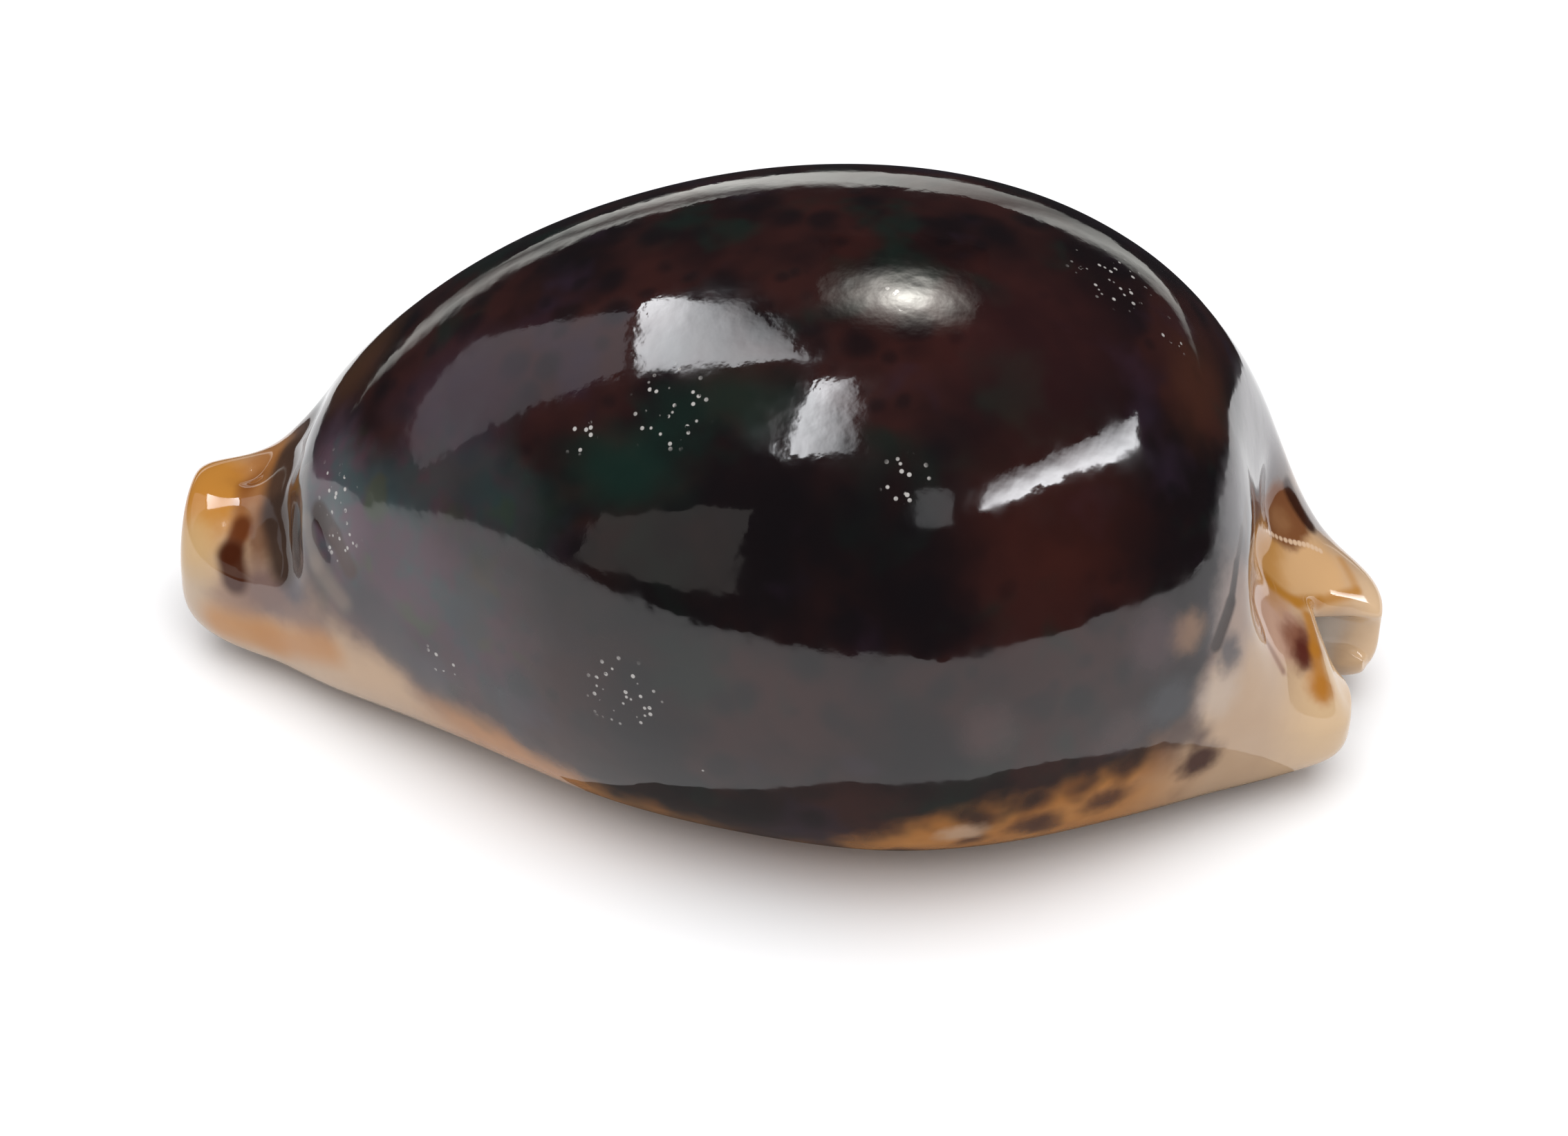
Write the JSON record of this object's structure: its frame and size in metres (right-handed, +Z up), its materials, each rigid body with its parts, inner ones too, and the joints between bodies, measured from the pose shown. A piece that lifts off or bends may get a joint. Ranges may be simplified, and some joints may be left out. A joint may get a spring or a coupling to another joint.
{
  "type": "panther cowrie shell",
  "caption": "Egg-shaped sea shell with a domed glossy back, a flat toothed underside split by a long narrow slit, a blunt snout at one end and a notch between two lobes at the other.",
  "frame": {"origin": "on the surface that the shell rests on, under the middle of its bounding box", "axes": "+X towards the posterior end with the two lobes, +Y towards the labral side, +Z up out of the back"},
  "size_m": [0.0702, 0.0422, 0.0327],
  "materials": {
    "enamel": "mirror-bright natural enamel, dark mottled brown on the back, fading through amber to cream at the margins and ends"
  },
  "bodies": {
    "root": {"shell": "enamel"}
  },
  "joints": []
}
